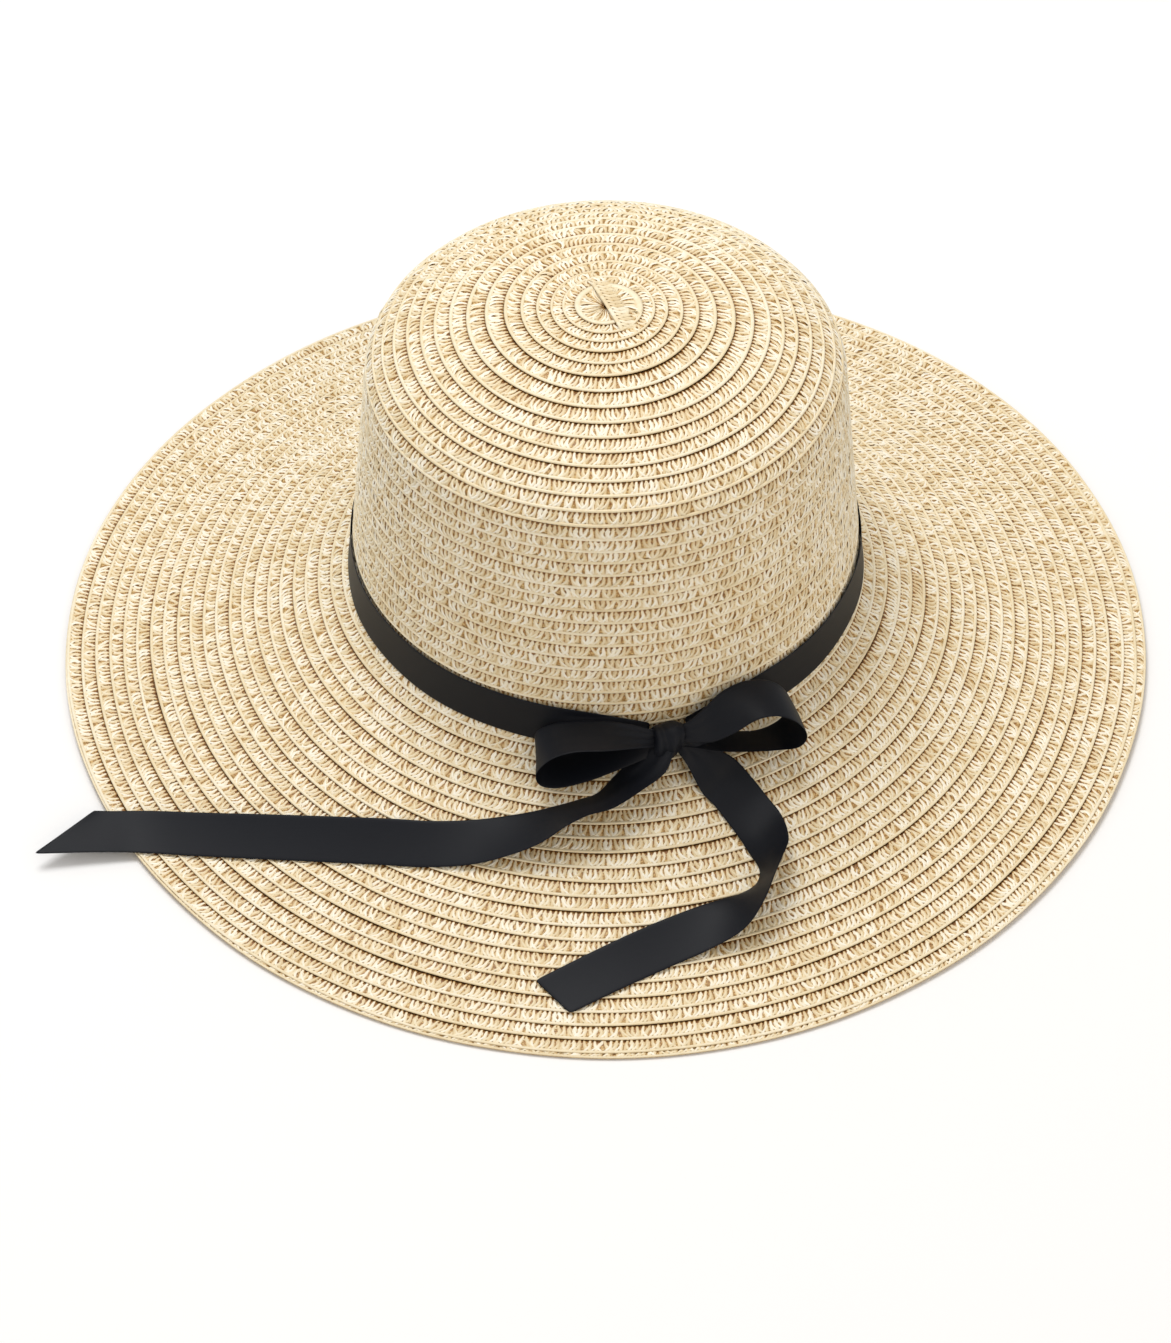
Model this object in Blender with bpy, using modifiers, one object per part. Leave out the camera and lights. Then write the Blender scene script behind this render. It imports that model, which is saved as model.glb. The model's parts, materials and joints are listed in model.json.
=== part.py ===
"""Wide straw sun hat with a satin ribbon band, bow and two free ribbon tails.

Metres, +Z up. The crown's axis is the Z axis and the brim stands on the plane Z = 0.
The bow is on the -Y side, a little towards +X. An azimuth is measured from -Y towards +X.
"""

import math

import bmesh
import bpy
from mathutils import Vector

# Straw shell, outer surfaces.
brim_radius = 0.2000
brim_drop = 0.0370
brim_sweep = 1.5
edge_row_width = 0.0052
edge_round = 0.0007
crown_base_radius = 0.0932
crown_side_height = 0.0924
shoulder_radius = 0.0841
tip_rise = 0.0306
button_radius = 0.0141
straw_wall = 0.0020

# Inside trim.
sweatband_height = 0.0260
sweatband_thickness = 0.0012
sweatband_lift = 0.0010
label_width = 0.0220
label_height = 0.0130
label_thickness = 0.0006

# Ribbon.
ribbon_width = 0.0170
ribbon_thickness = 0.0008
bow_azimuth = 13.1
knot_width = 0.0120
knot_depth = 0.0100
knot_height = 0.0130
knot_round = 0.0028
loop_length = 0.0420
loop_height = 0.0175
loop_depth = 0.0150
tail_lift = 0.0014
tail_cut = 0.0170
tail_overhang_rise = 0.15

# Fits.
seam_gap = 0.0003
trim_gap = 0.0004
hinge_gap = 0.0009
segments = 72

straw_colour = (0.76, 0.63, 0.42)
straw_light_colour = (0.80, 0.68, 0.47)
satin_colour = (0.012, 0.012, 0.014)
lining_colour = (0.70, 0.62, 0.48)
label_colour = (0.78, 0.76, 0.70)

# Heights that follow from the sizes above.
edge_top = straw_wall
base_z = edge_top + brim_drop
shoulder_z = base_z + crown_side_height
edge_inner_radius = brim_radius - edge_row_width
side_run = crown_base_radius - shoulder_radius
side_slant = math.atan2(side_run, crown_side_height)


def clear_scene():
    for obj in list(bpy.data.objects):
        bpy.data.objects.remove(obj, do_unlink=True)


def new_collection(name):
    collection = bpy.data.collections.new(name)
    bpy.context.scene.collection.children.link(collection)
    return collection


def new_material(name, colour, roughness):
    material = bpy.data.materials.new(name)
    material.use_nodes = True
    shader = material.node_tree.nodes["Principled BSDF"]
    shader.inputs["Base Color"].default_value = (*colour, 1.0)
    shader.inputs["Roughness"].default_value = roughness
    shader.inputs["Metallic"].default_value = 0.0
    return material


def add_object(name, mesh, material, collection):
    obj = bpy.data.objects.new(name, mesh)
    mesh.materials.append(material)
    collection.objects.link(obj)
    return obj


def brim_top(radius):
    """Height of the brim's upper surface at a radius. It sweeps down steeply, then flattens."""
    if radius >= brim_radius:
        return edge_top
    across = (radius - crown_base_radius) / (brim_radius - crown_base_radius)
    return edge_top + brim_drop * (1.0 - across) ** brim_sweep


def tip_height(radius):
    """Height of the domed top, a quarter ellipse that ends upright at the shoulder."""
    inside = max(0.0, 1.0 - (radius / shoulder_radius) ** 2)
    return shoulder_z + tip_rise * math.sqrt(inside)


def side_radius(z):
    """Outer radius of the crown's side, which widens towards the brim."""
    return shoulder_radius + side_run * (shoulder_z - z) / crown_side_height


def at_azimuth(degrees, radius, z):
    angle = math.radians(degrees)
    return Vector((radius * math.sin(angle), -radius * math.cos(angle), z))


def turned(name, profile, closed, material, collection, angle=math.tau, steps=segments):
    """Turns a profile of (radius, z) points about Z. The profile runs down its outer side."""
    edges = [(i, i + 1) for i in range(len(profile) - 1)]
    if closed:
        edges.append((len(profile) - 1, 0))
    mesh = bpy.data.meshes.new(name)
    mesh.from_pydata([(radius, 0.0, z) for radius, z in profile], edges, [])
    obj = add_object(name, mesh, material, collection)
    screw = obj.modifiers.new("Turn", "SCREW")
    screw.axis = "Z"
    screw.angle = angle
    screw.steps = steps
    screw.render_steps = steps
    screw.use_merge_vertices = angle >= math.tau
    screw.merge_threshold = 0.00001
    screw.use_smooth_shade = True
    return obj


def thicken(obj, thickness):
    solid = obj.modifiers.new("Wall", "SOLIDIFY")
    solid.thickness = thickness
    solid.offset = -1.0
    solid.use_even_offset = True


def crown_button(material, collection):
    """The flat coil that the braid starts from, at the middle of the top."""
    outer = button_radius - seam_gap
    profile = [(outer * i / 4, tip_height(outer * i / 4)) for i in range(5)]
    obj = turned("crown_button", profile, False, material, collection)
    thicken(obj, straw_wall)


def crown_tip(material, collection):
    """The domed top, from the button to the shoulder."""
    count = 12
    start = math.asin(button_radius / shoulder_radius)
    profile = []
    for i in range(count + 1):
        angle = start + (math.pi / 2 - start) * i / count
        radius = shoulder_radius * math.sin(angle)
        profile.append((radius, shoulder_z + tip_rise * math.cos(angle)))
    obj = turned("crown_tip", profile, False, material, collection)
    thicken(obj, straw_wall)


def crown_side(material, collection):
    top = shoulder_z - seam_gap
    profile = []
    for i in range(4):
        z = top + (base_z - top) * i / 3
        profile.append((side_radius(z), z))
    obj = turned("crown_side", profile, False, material, collection)
    thicken(obj, straw_wall)


def brim(material, collection):
    """The brim from the crown's foot to the last row of braid."""
    inner = crown_base_radius + seam_gap
    outer = edge_inner_radius - seam_gap
    count = 8
    profile = []
    for i in range(count + 1):
        radius = inner + (outer - inner) * i / count
        profile.append((radius, brim_top(radius)))
    obj = turned("brim", profile, False, material, collection)
    thicken(obj, straw_wall)


def brim_edge(material, collection):
    """The last row of braid. Its flat underside is what the hat stands on."""
    top = brim_top(edge_inner_radius)
    profile = [
        (edge_inner_radius, top),
        (brim_radius - edge_round, edge_top),
        (brim_radius, edge_top - edge_round),
        (brim_radius, edge_round),
        (brim_radius - edge_round, 0.0),
        (edge_inner_radius, 0.0),
    ]
    turned("brim_edge", profile, True, material, collection)


def lining_radius(z):
    """Radius of the inside of the crown's wall, less the gap that the sweatband keeps."""
    return side_radius(z) - (straw_wall + trim_gap) / math.cos(side_slant)


def sweatband(material, collection):
    """The fabric band inside the foot of the crown."""
    bottom = base_z + sweatband_lift
    top = bottom + sweatband_height
    profile = []
    for i in range(3):
        z = top + (bottom - top) * i / 2
        profile.append((lining_radius(z), z))
    obj = turned("sweatband", profile, False, material, collection)
    thicken(obj, sweatband_thickness)


def size_label(material, collection):
    """A blank woven tab on the sweatband, at the back."""
    middle = base_z + sweatband_lift + sweatband_height / 2
    face = lining_radius(middle) - sweatband_thickness / math.cos(side_slant)
    bow_in = face - math.sqrt(face**2 - (label_width / 2) ** 2)
    flat_in = face * (1.0 - math.cos(math.pi / segments))
    centre = face - bow_in - flat_in - trim_gap - label_thickness / 2
    bpy.ops.mesh.primitive_cube_add(size=1.0)
    obj = bpy.context.object
    obj.name = "size_label"
    obj.data.name = "size_label"
    obj.scale = (label_width, label_thickness, label_height)
    bpy.ops.object.transform_apply(location=False, rotation=False, scale=True)
    obj.location = (0.0, centre, middle)
    obj.rotation_euler = (side_slant, 0.0, 0.0)
    obj.data.materials.append(material)
    for other in list(obj.users_collection):
        other.objects.unlink(obj)
    collection.objects.link(obj)


def knot_radius():
    """Distance from the crown's axis to the middle of the knot."""
    return side_radius(knot_middle()) + trim_gap + knot_depth / 2


def knot_stand_off():
    """How much further out the upright knot sits, so that its lower back edge clears the slope."""
    flat_depth = knot_depth / 2 - knot_round
    flat_height = knot_height / 2 - knot_round
    reach = flat_depth * math.cos(side_slant) + flat_height * math.sin(side_slant) + knot_round
    return (reach + trim_gap) / math.cos(side_slant) - knot_depth / 2 - trim_gap


def knot_middle():
    return base_z + trim_gap + ribbon_width / 2


def ribbon_band(material, collection):
    """The ribbon round the foot of the crown. Its ends stop at the two sides of the knot."""
    bottom = base_z + trim_gap
    top = bottom + ribbon_width
    gap = (trim_gap + ribbon_thickness) / math.cos(side_slant)
    profile = []
    for i in range(3):
        z = top + (bottom - top) * i / 2
        profile.append((side_radius(z) + gap, z))
    half = (knot_width / 2 + trim_gap) / (crown_base_radius - knot_depth / 4)
    obj = turned(
        "ribbon_band", profile, False, material, collection, math.tau - 2 * half, segments
    )
    obj.rotation_euler.z = math.radians(bow_azimuth - 90.0) + half
    thicken(obj, ribbon_thickness)


def bow_knot(material, collection):
    bpy.ops.mesh.primitive_cube_add(size=1.0)
    obj = bpy.context.object
    obj.name = "bow_knot"
    obj.data.name = "bow_knot"
    obj.scale = (knot_width, knot_depth, knot_height)
    bpy.ops.object.transform_apply(location=False, rotation=False, scale=True)
    obj.location = at_azimuth(bow_azimuth, knot_radius() + knot_stand_off(), knot_middle())
    obj.rotation_euler.z = math.radians(bow_azimuth)
    obj.data.materials.append(material)
    bevel = obj.modifiers.new("Round", "BEVEL")
    bevel.width = knot_round
    bevel.segments = 3
    for other in list(obj.users_collection):
        other.objects.unlink(obj)
    collection.objects.link(obj)


def strip(name, rails, origin, material, collection):
    """A ribbon: an edge drawn out along two rails, then given its thickness downwards."""
    bm = bmesh.new()
    ends = [bm.verts.new(point - origin) for point in rails[0]]
    edge = bm.edges.new(ends)
    for rail in rails[1:]:
        made = bmesh.ops.extrude_edge_only(bm, edges=[edge])["geom"]
        fresh = [item for item in made if isinstance(item, bmesh.types.BMVert)]
        edge = bm.edges.get(fresh)
        if (fresh[0].co - ends[0].co).length > (fresh[1].co - ends[0].co).length:
            fresh.reverse()
        for vert, point in zip(fresh, rail):
            vert.co = point - origin
        ends = fresh
    mesh = bpy.data.meshes.new(name)
    bm.to_mesh(mesh)
    bm.free()
    obj = add_object(name, mesh, material, collection)
    obj.location = origin
    return obj


def smooth_path(points, per_span):
    """Points on a curve through the given ones, each a tuple of numbers (Catmull-Rom)."""
    path = []
    last = len(points) - 1
    for i in range(last):
        before = points[max(i - 1, 0)]
        start = points[i]
        end = points[i + 1]
        after = points[min(i + 2, last)]
        for j in range(per_span):
            t = j / per_span
            path.append(tuple(
                0.5 * (2 * b + (c - a) * t + (2 * a - 5 * b + 4 * c - d) * t * t
                       + (3 * b - 3 * c + d - a) * t ** 3)
                for a, b, c, d in zip(before, start, end, after)
            ))
    path.append(points[-1])
    return path


def bow_loop(name, turn, side, outline, material, collection):
    """One loop of the bow: a drop-shaped path, as wide as the ribbon is deep in the bow."""
    facing = math.radians(bow_azimuth + turn)
    along = Vector((math.cos(facing), math.sin(facing), 0.0)) * side
    outward = Vector((math.sin(facing), -math.cos(facing), 0.0))
    foot = at_azimuth(bow_azimuth, knot_radius(), knot_middle())
    knot_facing = math.radians(bow_azimuth)
    clear = trim_gap + 0.25 * loop_depth * abs(math.sin(math.radians(turn)))
    beside = Vector((math.cos(knot_facing), math.sin(knot_facing), 0.0)) * side
    foot += beside * (knot_width / 2 + clear)
    behind = crown_base_radius + 2 * trim_gap + 2 * ribbon_thickness
    rails = []
    for out, up in smooth_path(outline, 3):
        spread = 0.45 + 0.55 * min(1.0, out / 0.35)
        middle = foot + along * out * loop_length + Vector((0.0, 0.0, up * loop_height))
        half = outward * loop_depth / 2 * spread
        back = middle - half
        middle += outward * max(0.0, behind - math.hypot(back.x, back.y))
        rails.append((middle - half, middle + half))
    if side > 0:
        rails.reverse()
    obj = strip(name, rails, foot, material, collection)
    thicken(obj, ribbon_thickness)


def on_brim(point):
    """The point brought to the height at which a tail lies, straight on past the brim's edge."""
    radius = math.hypot(point.x, point.y)
    beyond = max(0.0, radius - brim_radius)
    z = brim_top(radius) + tail_lift + beyond * tail_overhang_rise
    return Vector((point.x, point.y, z))


def tail_rails(centres, cut):
    """Two edges of a tail whose middle line and width are given over the brim."""
    path = smooth_path(centres, 3)
    width = brim_radius - crown_base_radius
    flat = [at_azimuth(turn, crown_base_radius + across * width, 0.0) for turn, across, _ in path]
    rails = []
    for i, (_, _, share) in enumerate(path):
        ahead = (flat[min(i + 1, len(flat) - 1)] - flat[max(i - 1, 0)]).normalized()
        aside = Vector((-ahead.y, ahead.x, 0.0)) * ribbon_width / 2 * share
        end = ahead * cut if i == len(path) - 1 else Vector()
        rails.append((on_brim(flat[i] + aside + end), on_brim(flat[i] - aside - end)))
    return rails


def tail(name, centres, crease, cut, material, collection):
    """A tail on the brim, in two lengths that meet at the crease that the free one lifts about."""
    rails = tail_rails(centres, cut)
    root = rails[: 3 * crease + 1]
    free = rails[3 * crease :]
    pivot = (free[0][0] + free[0][1]) / 2
    ahead = (free[1][0] + free[1][1]) / 2 - pivot
    step = ahead.normalized() * hinge_gap
    root[-1] = tuple(point - step for point in root[-1])
    for part_name, part in ((name + "_root", root), (name, free)):
        obj = strip(part_name, part, pivot, material, collection)
        thicken(obj, ribbon_thickness)


def main():
    clear_scene()
    hat = new_collection("straw_sun_hat")
    straw = new_material("paper straw braid", straw_colour, 0.75)
    straw_light = new_material("paper straw braid, top", straw_light_colour, 0.75)
    satin = new_material("black satin ribbon", satin_colour, 0.38)
    lining = new_material("cotton sweatband", lining_colour, 0.9)
    woven = new_material("woven label", label_colour, 0.8)

    crown_button(straw_light, hat)
    crown_tip(straw_light, hat)
    crown_side(straw, hat)
    brim(straw, hat)
    brim_edge(straw, hat)
    sweatband(lining, hat)
    size_label(woven, hat)
    ribbon_band(satin, hat)
    bow_knot(satin, hat)

    left_outline = [
        (0.0, 0.10), (0.2, 0.26), (0.55, 0.44), (0.85, 0.42), (0.98, 0.22), (1.0, -0.08),
        (0.93, -0.34), (0.75, -0.46), (0.45, -0.36), (0.2, -0.22), (0.0, -0.10),
    ]
    right_outline = [
        (0.0, 0.10), (0.2, 0.34), (0.55, 0.60), (0.85, 0.58), (0.98, 0.36), (1.0, 0.06),
        (0.93, -0.22), (0.75, -0.36), (0.45, -0.34), (0.2, -0.22), (0.0, -0.10),
    ]
    bow_loop("bow_loop_left", -bow_azimuth, -1.0, left_outline, satin, hat)
    bow_loop("bow_loop_right", 0.0, 1.0, right_outline, satin, hat)

    # Azimuth, share of the brim's width, share of the ribbon's width.
    left_centres = [
        (8.3, 0.125, 0.75), (2.1, 0.165, 0.8), (-4.4, 0.225, 0.85), (-12.1, 0.286, 0.95),
        (-19.8, 0.342, 1.0), (-33.9, 0.453, 1.0), (-45.8, 0.617, 1.0), (-53.6, 0.791, 1.0),
        (-57.5, 0.925, 1.0), (-61.2, 1.185, 1.0),
    ]
    right_centres = [
        (17.6, 0.125, 0.8), (22.4, 0.19, 0.85), (25.2, 0.28, 0.9), (25.6, 0.36, 0.9),
        (24.6, 0.445, 0.7), (22.7, 0.518, 0.5), (18.8, 0.577, 0.7), (13.9, 0.606, 1.0),
        (4.7, 0.668, 1.0), (-5.0, 0.79, 1.0),
    ]
    tail("bow_tail_left", left_centres, 3, tail_cut / 2, satin, hat)
    tail("bow_tail_right", right_centres, 3, -tail_cut / 3, satin, hat)


main()
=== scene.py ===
import json
import math

import bmesh
import bpy
import numpy as np
from mathutils import Matrix, Vector


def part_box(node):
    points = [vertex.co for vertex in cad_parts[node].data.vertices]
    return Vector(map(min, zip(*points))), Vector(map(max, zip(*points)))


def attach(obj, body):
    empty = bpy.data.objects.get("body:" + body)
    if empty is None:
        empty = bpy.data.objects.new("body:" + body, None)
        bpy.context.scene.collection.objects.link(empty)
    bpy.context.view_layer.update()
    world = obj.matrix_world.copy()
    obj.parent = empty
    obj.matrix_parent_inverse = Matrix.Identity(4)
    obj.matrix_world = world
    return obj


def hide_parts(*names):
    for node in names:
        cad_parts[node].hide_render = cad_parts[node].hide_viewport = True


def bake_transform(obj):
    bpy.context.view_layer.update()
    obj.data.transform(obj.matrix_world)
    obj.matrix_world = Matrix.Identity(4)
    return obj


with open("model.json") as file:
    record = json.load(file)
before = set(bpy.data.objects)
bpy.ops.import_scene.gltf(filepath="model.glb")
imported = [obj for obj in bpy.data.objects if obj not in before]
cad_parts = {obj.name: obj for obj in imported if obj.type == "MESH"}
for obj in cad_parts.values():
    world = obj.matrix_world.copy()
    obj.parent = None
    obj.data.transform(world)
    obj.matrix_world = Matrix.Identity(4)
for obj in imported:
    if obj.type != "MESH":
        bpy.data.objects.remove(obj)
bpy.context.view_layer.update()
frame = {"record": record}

mm = 0.001
upright = Vector((0.0, 0.0, 1.0))


def hexColour(text):
    # sRGB hex to the linear values that the shaders take
    channels = [int(text[i:i + 2], 16) / 255.0 for i in (0, 2, 4)]
    linear = [c / 12.92 if c <= 0.04045 else ((c + 0.055) / 1.055) ** 2.4 for c in channels]
    return (*linear, 1.0)


def addNode(tree, kind, settings=None, links=None):
    # settings: attributes and input values; links: input -> (node, output)
    node = tree.nodes.new(kind)
    for key, value in (settings or {}).items():
        if isinstance(key, str) and hasattr(node, key):
            setattr(node, key, value)
        else:
            node.inputs[key].default_value = value
    for key, (source, output) in (links or {}).items():
        tree.links.new(source.outputs[output], node.inputs[key])
    return node


def setRamp(node, stops):
    ramp = node.color_ramp
    while len(ramp.elements) > 1:
        ramp.elements.remove(ramp.elements[-1])
    for i, (place, colour) in enumerate(stops):
        element = ramp.elements[0] if i == 0 else ramp.elements.new(place)
        element.position = place
        element.color = hexColour(colour)


def newMaterial(name, roughness):
    material = bpy.data.materials.new(name)
    material.use_nodes = True
    shader = material.node_tree.nodes["Principled BSDF"]
    shader.inputs["Roughness"].default_value = roughness
    print("material", name)
    return material, material.node_tree, shader


def makePlain(name, colour, roughness):
    material, tree, shader = newMaterial(name, roughness)
    shader.inputs["Base Color"].default_value = hexColour(colour)
    return material


def newObject(name, bm, material):
    mesh = bpy.data.meshes.new(name)
    for face in bm.faces:
        face.smooth = True
    bm.to_mesh(mesh)
    bm.free()
    obj = bpy.data.objects.new(name, mesh)
    mesh.materials.append(material)
    bpy.context.scene.collection.objects.link(obj)
    return obj


def readPoints(mesh):
    points = np.empty(len(mesh.vertices) * 3)
    mesh.vertices.foreach_get("co", points)
    return points.reshape(-1, 3)


def writePoints(mesh, points):
    mesh.vertices.foreach_set("co", points.ravel())
    mesh.update()


# The camera stands in front of the brim and looks down on the crown.
viewSettings = {
    "distance": 1.5,
    "elevation": 45.88,
    "targetHeight": 1.0 * mm,
    "sensor": 36.0,
    "lens": 108.04,
    "shiftX": -0.0150,
    "shiftY": -0.0315,
}


def makeCamera():
    camera = bpy.data.objects.new("camera", bpy.data.cameras.new("camera"))
    bpy.context.scene.collection.objects.link(camera)
    lift = math.radians(viewSettings["elevation"])
    away = viewSettings["distance"]
    height = away * math.sin(lift) + viewSettings["targetHeight"]
    camera.location = (0.0, -away * math.cos(lift), height)
    camera.rotation_euler = (math.pi / 2 - lift, 0.0, 0.0)
    camera.data.sensor_width = viewSettings["sensor"]
    camera.data.lens = viewSettings["lens"]
    camera.data.shift_x = viewSettings["shiftX"]
    camera.data.shift_y = viewSettings["shiftY"]
    camera.data.dof.use_dof = False
    bpy.context.scene.camera = camera
    print("camera", viewSettings["distance"], "m away")


# A pale floor under an even white sky, a broad light overhead and a warm one from the front.
studio = {
    "floorHalf": 4.0,
    "floorColour": "F6F6F6",
    "floorRoughness": 0.9,
    "skyStrength": 0.59,
    # name, place, size in metres, watts, colour
    "lights": (
        ("keyLight", (-0.30, 0.45, 1.7), 0.8, 17.5, (1.0, 1.0, 1.0)),
        ("fillLight", (0.7, -1.4, 1.1), 1.2, 5.0, (1.0, 0.80, 0.54)),
    ),
}


def makeStudio():
    bm = bmesh.new()
    bmesh.ops.create_grid(bm, x_segments=1, y_segments=1, size=studio["floorHalf"])
    paleFloor = makePlain("paleFloor", studio["floorColour"], studio["floorRoughness"])
    newObject("floor", bm, paleFloor)
    world = bpy.data.worlds.new("studio")
    bpy.context.scene.world = world
    world.use_nodes = True
    sky = world.node_tree.nodes["Background"]
    sky.inputs["Color"].default_value = (1.0, 1.0, 1.0, 1.0)
    sky.inputs["Strength"].default_value = studio["skyStrength"]
    for name, place, size, power, tint in studio["lights"]:
        light = bpy.data.lights.new(name, "AREA")
        light.color = tint
        light.energy = power
        light.size = size
        lamp = bpy.data.objects.new(name, light)
        lamp.location = place
        lamp.rotation_euler = Vector(place).to_track_quat("Z", "Y").to_euler()
        bpy.context.scene.collection.objects.link(lamp)
    bpy.context.scene.view_settings.view_transform = "Standard"
    print("studio: floor and", len(studio["lights"]), "lights")


strawLook = {
    "strandColours": [(0.28, "C09C6B"), (0.52, "D9BF90"), (0.78, "EEDEBA"), (1.0, "FDF6E4")],
    # painted shade between the strands, picked by the depth attribute: white for none, dark brown for
    # the deepest
    "paintedShadeColours": [(0.0, "FFFFFF"), (0.3, "E8D5AD"), (0.55, "C3A373"), (1.0, "553E1E")],
    "creaseColours": [(0.0, "8A6434"), (0.10, "CDAC7B"), (0.22, "FFFFFF")],
    "blotchSize": 2.38 * mm,
    "blotchShare": 0.22,
    "driftSize": 22.2 * mm,
    "driftShare": 0.15,
    "bendSize": 1.43 * mm,
    "bendBy": 1.1 * mm,
    "creaseSpacing": 1.136 * mm,
    "creaseFrom": 0.12,
    "creaseTo": 0.32,
    "creaseMost": 0.9,
    "fibreSize": 0.385 * mm,
    "fibreHeight": 0.15 * mm,
    "fibreStrength": 0.35,
    "roughness": 0.45,
    "gloss": 0.5,
}


def makeStraw():
    # Knitted paper straw: matt twisted paper, cream on the strands, with painted shade from the depth
    # attribute darkening it to tan and brown down between them.
    look = strawLook
    material, tree, shader = newMaterial("knittedPaperStraw", look["roughness"])
    # tone: the straw's own colour, differing at random; depth: painted shade, dark low down between
    # the strands and under the row before
    tone = addNode(tree, "ShaderNodeAttribute", {"attribute_name": "tone"})
    depth = addNode(tree, "ShaderNodeAttribute", {"attribute_name": "depth"})
    place = addNode(tree, "ShaderNodeTexCoord")
    blotch = addNode(tree, "ShaderNodeTexNoise",
                     {"Scale": 1.0 / look["blotchSize"], "Detail": 2.0},
                     {"Vector": (place, "Object")})
    drift = addNode(tree, "ShaderNodeTexNoise",
                    {"Scale": 1.0 / look["driftSize"], "Detail": 2.0},
                    {"Vector": (place, "Object")})
    mixed = addNode(tree, "ShaderNodeMath",
                    {"operation": "MULTIPLY_ADD", 1: look["blotchShare"]},
                    {0: (blotch, "Fac"), 2: (tone, "Fac")})
    shifted = addNode(tree, "ShaderNodeMath",
                      {"operation": "MULTIPLY_ADD", 1: look["driftShare"]},
                      {0: (drift, "Fac"), 2: (mixed, "Value")})
    strand = addNode(tree, "ShaderNodeValToRGB", {}, {"Fac": (shifted, "Value")})
    setRamp(strand, look["strandColours"])
    # painted shade: the depth attribute turned into a darkening colour and multiplied onto the straw
    paintedShade = addNode(tree, "ShaderNodeValToRGB", {}, {"Fac": (depth, "Fac")})
    setRamp(paintedShade, look["paintedShadeColours"])
    colour = addNode(tree, "ShaderNodeMix",
                     {"data_type": "RGBA", "blend_type": "MULTIPLY", "Factor": 1.0},
                     {6: (strand, "Color"), 7: (paintedShade, "Color")})

    # creases between the twists of the paper, seen only low down between the strands
    bend = addNode(tree, "ShaderNodeTexNoise",
                   {"Scale": 1.0 / look["bendSize"], "Detail": 1.0},
                   {"Vector": (place, "Object")})
    pull = addNode(tree, "ShaderNodeVectorMath", {"operation": "SCALE", "Scale": look["bendBy"]},
                   {0: (bend, "Color")})
    bent = addNode(tree, "ShaderNodeVectorMath", {"operation": "ADD"},
                   {0: (place, "Object"), 1: (pull, "Vector")})
    twist = addNode(tree, "ShaderNodeTexVoronoi",
                    {"feature": "DISTANCE_TO_EDGE", "Scale": 1.0 / look["creaseSpacing"]},
                    {"Vector": (bent, "Vector")})
    crease = addNode(tree, "ShaderNodeValToRGB", {}, {"Fac": (twist, "Distance")})
    setRamp(crease, look["creaseColours"])
    inside = addNode(tree, "ShaderNodeMapRange",
                     {"From Min": look["creaseFrom"], "From Max": look["creaseTo"],
                      "To Max": look["creaseMost"]},
                     {"Value": (depth, "Fac")})
    creased = addNode(tree, "ShaderNodeMix", {"data_type": "RGBA", "blend_type": "MULTIPLY"},
                      {0: (inside, "Result"), 6: (colour, 2), 7: (crease, "Color")})
    tree.links.new(creased.outputs[2], shader.inputs["Base Color"])

    # the paper's own fibres, drawn a little coarser than real so that they show
    fibre = addNode(tree, "ShaderNodeTexNoise",
                    {"Scale": 1.0 / look["fibreSize"], "Detail": 3.0},
                    {"Vector": (place, "Object")})
    bump = addNode(tree, "ShaderNodeBump",
                   {"Strength": look["fibreStrength"], "Distance": look["fibreHeight"]},
                   {"Height": (fibre, "Fac")})
    tree.links.new(bump.outputs["Normal"], shader.inputs["Normal"])
    shader.inputs["Specular IOR Level"].default_value = look["gloss"]
    return material


# The hat's outline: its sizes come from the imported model, with small ones added to them.
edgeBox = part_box("brim_edge")
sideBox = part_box("crown_side")
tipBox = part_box("crown_tip")
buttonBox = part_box("crown_button")
hatShape = {
    "brimRadius": edgeBox[1][1],
    "edgeHeight": 1.3 * mm,
    "footRadius": sideBox[1][1],
    "footHeight": sideBox[0][2],
    "shoulderRadius": tipBox[1][1],
    "shoulderHeight": sideBox[1][2] + 0.3 * mm,
    "topHeight": buttonBox[1][2] - 1.0 * mm,
    "brimSweep": 1.5,
    "step": 0.2 * mm,
    "footRounding": 12.0 * mm,
    # waves of the brim's edge: how many round the hat, and how far out in millimetres
    "edgeWaves": ((1, 1.4), (2, -0.4), (3, 0.9)),
    "rearPull": 2.4 * mm,
    "rearTurn": math.radians(134.0),
    "rearNarrow": 8,
    "sideLift": 0.9 * mm,
}
sideSlope = hatShape["footRadius"] - hatShape["shoulderRadius"]
sideSlope /= hatShape["shoulderHeight"] - hatShape["footHeight"]


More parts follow.
